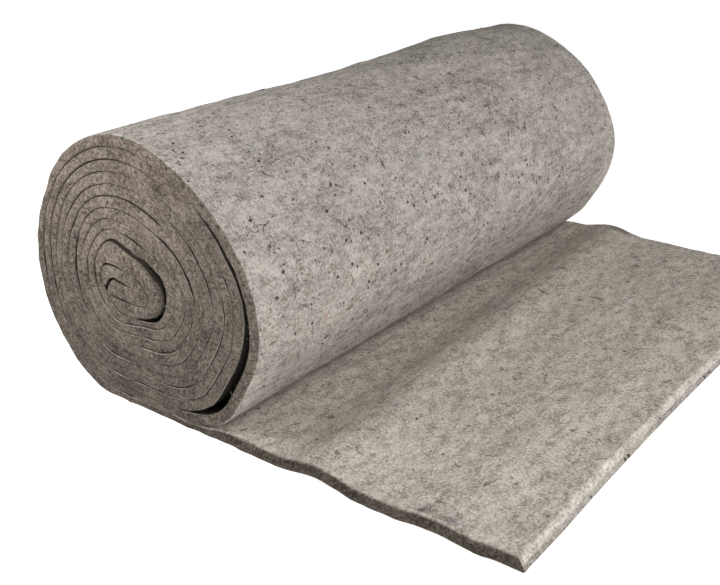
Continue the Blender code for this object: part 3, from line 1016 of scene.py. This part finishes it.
def colour_ramp(tree, value, stops, name, kind="LINEAR"):
    """A colour for each value, by its stops."""
    node = add_node(tree, "ShaderNodeValToRGB", name)
    node.color_ramp.interpolation = kind
    points = node.color_ramp.elements
    while len(points) < len(stops):
        points.new(0.5)
    for point, (place, colour) in zip(points, stops):
        point.position = place
        point.color = (*colour, 1.0)
    tree.links.new(value, node.inputs[0])
    return node.outputs[0]


def felt_material(group):
    """Mottled grey felt: cooler and speckled outside, warmer inside, browner where it is cut, with painted
    shade between the turns.
    """
    felt = bpy.data.materials.new("recycled felt")
    felt.use_nodes = True
    tree = felt.node_tree
    shader = tree.nodes["Principled BSDF"]
    shader.inputs["Roughness"].default_value = FELT_ROUGHNESS
    shader.inputs["Specular IOR Level"].default_value = FELT_SPECULAR
    place = tree.nodes.new("ShaderNodeTexCoord").outputs["Object"]
    cut = add_node(tree, "ShaderNodeAttribute", "cut edge", attribute_name="cut").outputs["Fac"]
    upper = add_node(tree, "ShaderNodeAttribute", "upper face", attribute_name="upper").outputs["Fac"]
    # The inside attribute is the painted shade mask for hidden faces and the loose end's near cut
    inside = add_node(tree, "ShaderNodeAttribute", "hidden inside", attribute_name="inside").outputs["Fac"]

    felts = [use_felt(tree, group, place, row) for row in FELT_ROWS]
    finished = [felt_colour(tree, node, row) for node, row in zip(felts, FELT_ROWS)]

    # Coloured tufts on the outer face, pale and soft
    tufts = add_node(tree, "ShaderNodeTexNoise", "coloured tufts", Scale=75.0, Detail=3.0, Roughness=0.6)
    tree.links.new(place, tufts.inputs["Vector"])
    kinds = add_node(tree, "ShaderNodeTexNoise", "tuft kinds", Scale=14.0, Detail=1.0)
    tree.links.new(place, kinds.inputs["Vector"])
    tuft_colour = colour_ramp(tree, kinds.outputs[0], TUFT_COLOURS, "tuft colours", "CONSTANT")
    tuft_share = spread(tree, tufts.outputs[0], 0.63, 0.76, "where tufts are")
    tuft_share = sums(tree, "MULTIPLY", tuft_share, TUFT_SHARE, "tuft share")
    finished[0] = blend_colours(tree, tuft_share, finished[0], tuft_colour, "outer face with tufts")

    facing = spread(tree, upper, 0.35, 0.65, "which face")
    cut_share = spread(tree, cut, 0.03, 0.34, "how far it is cut")
    colour = blend_colours(tree, facing, finished[0], finished[1], "both faces")
    colour = blend_colours(tree, cut_share, colour, finished[2], "faces and cut edges")
    # Painted shade: hidden faces between the turns and the loose end's near cut darkened toward near black
    # brown
    deep = sums(tree, "MULTIPLY", inside, PAINTED_SHADE_SHARE, "how deep inside")
    colour = blend_colours(tree, deep, colour, PAINTED_SHADE_COLOUR, "dark between the turns")
    tree.links.new(colour, shader.inputs["Base Color"])

    heights = [node.outputs["Height"] for node in felts]
    height = blend_values(tree, facing, heights[0], heights[1], "height of both faces")
    height = blend_values(tree, cut_share, height, heights[2], "height of faces and edges")
    bump = add_node(tree, "ShaderNodeBump", "fibre relief", Strength=RELIEF_STRENGTH, Distance=RELIEF_HEIGHT)
    tree.links.new(height, bump.inputs["Height"])
    tree.links.new(bump.outputs[0], shader.inputs["Normal"])
    return felt


def fibre_lots_group():
    """A chance lot of 0 to 1 for each small patch of the roll, for fibres of unlike colours."""
    group = bpy.data.node_groups.new("fibre lots", "ShaderNodeTree")
    group.interface.new_socket("Place", in_out="INPUT", socket_type="NodeSocketVector")
    group.interface.new_socket("Lot", in_out="OUTPUT", socket_type="NodeSocketFloat")
    given = group.nodes.new("NodeGroupInput").outputs
    out = group.nodes.new("NodeGroupOutput").inputs
    patches = add_node(group, "ShaderNodeTexVoronoi", "patches", Scale=FIBRE_PATCHES, Randomness=1.0)
    group.links.new(given["Place"], patches.inputs["Vector"])
    lots = add_node(group, "ShaderNodeSeparateColor", "lots")
    group.links.new(patches.outputs["Color"], lots.inputs[0])
    group.links.new(lots.outputs[0], out["Lot"])
    return group


def fibre_material(name, stops, kind, group):
    """A matt fibre whose colour changes from one fibre to the next."""
    finish = bpy.data.materials.new(name)
    finish.use_nodes = True
    tree = finish.node_tree
    shader = tree.nodes["Principled BSDF"]
    shader.inputs["Roughness"].default_value = FIBRE_ROUGHNESS
    shader.inputs["Specular IOR Level"].default_value = FIBRE_SPECULAR
    place = tree.nodes.new("ShaderNodeTexCoord").outputs["Object"]
    lots = add_node(tree, "ShaderNodeGroup", "lots", node_tree=group)
    tree.links.new(place, lots.inputs["Place"])
    colour = colour_ramp(tree, lots.outputs["Lot"], stops, "fibre colours", kind)
    tree.links.new(colour, shader.inputs["Base Color"])
    return finish


def floor_material():
    """Plain pale studio floor."""
    pale = bpy.data.materials.new("pale floor")
    pale.use_nodes = True
    tree = pale.node_tree
    shader = tree.nodes["Principled BSDF"]
    shader.inputs["Roughness"].default_value = FLOOR_ROUGHNESS
    shader.inputs["Specular IOR Level"].default_value = FLOOR_SPECULAR
    shader.inputs["Emission Color"].default_value = (1.0, 1.0, 1.0, 1.0)
    shader.inputs["Emission Strength"].default_value = FLOOR_GLOW
    place = tree.nodes.new("ShaderNodeTexCoord").outputs["Object"]
    mottle = add_node(tree, "ShaderNodeTexNoise", "faint mottle", Scale=3.0, Detail=2.0)
    tree.links.new(place, mottle.inputs["Vector"])
    tones = ((0.3, (0.88, 0.88, 0.88)), (0.7, (0.90, 0.90, 0.90)))
    tree.links.new(colour_ramp(tree, mottle.outputs[0], tones, "pale tones"), shader.inputs["Base Color"])
    return pale


def build_floor():
    """The plain floor that the roll lies on."""
    bpy.ops.mesh.primitive_plane_add(size=FLOOR_SIZE, location=(0.0, 0.0, 0.0))
    floor = bpy.context.active_object
    floor.name = "floor"
    floor.data.materials.append(floor_material())
    floor.select_set(False)


def build_light(row):
    """One soft panel, spot or sun, turned toward its aim."""
    light = bpy.data.lights.new(row.name, row.kind)
    light.energy = row.strength
    if row.kind == "SUN":
        light.angle = math.radians(row.size)
    elif row.kind == "SPOT":
        light.shadow_soft_size = row.size
        light.spot_size = math.radians(SPOT_CONE)
        light.spot_blend = 1.0
    else:
        light.size = row.size
    lamp = bpy.data.objects.new(row.name, light)
    bpy.context.scene.collection.objects.link(lamp)
    lamp.visible_camera = False
    lamp.location = Vector(row.place) + Vector((SHIFT_X, SHIFT_Y, 0.0))
    lamp.rotation_euler = (Vector(row.place) - Vector(row.aim)).to_track_quat("Z", "Y").to_euler()


def build_lights():
    """All lights of the studio and its faint even glow."""
    for row in LIGHT_ROWS:
        build_light(row)
    world = bpy.data.worlds.new("studio")
    bpy.context.scene.world = world
    world.use_nodes = True
    sky = world.node_tree.nodes["Background"]
    sky.inputs["Color"].default_value = (1.0, 1.0, 1.0, 1.0)
    sky.inputs["Strength"].default_value = WORLD_STRENGTH


def build_camera():
    """The camera at the photograph's place, turn and lens."""
    camera = bpy.data.cameras.new("camera")
    camera.lens = CAMERA_LENS
    camera.sensor_width = SENSOR_WIDTH
    holder = bpy.data.objects.new("camera", camera)
    bpy.context.scene.collection.objects.link(holder)
    holder.location = Vector(CAMERA_PLACE) + Vector((SHIFT_X, SHIFT_Y, 0.0))
    holder.rotation_euler = [math.radians(angle) for angle in CAMERA_TURN]
    bpy.context.scene.camera = holder


build_camera()
build_lights()
build_floor()

felt_mat, mat_loop, mat_turns = build_mat()
felt_mat.data.materials.append(felt_material(needled_felt_group()))
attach(felt_mat, "root")
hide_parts("wound_roll", "loose_end")
fibres = build_fibres(felt_mat, mat_loop, mat_turns)
mat_length = float(runs_along(*mat_faces(0.0))[-1])

bpy.context.scene.view_settings.view_transform = "Standard"
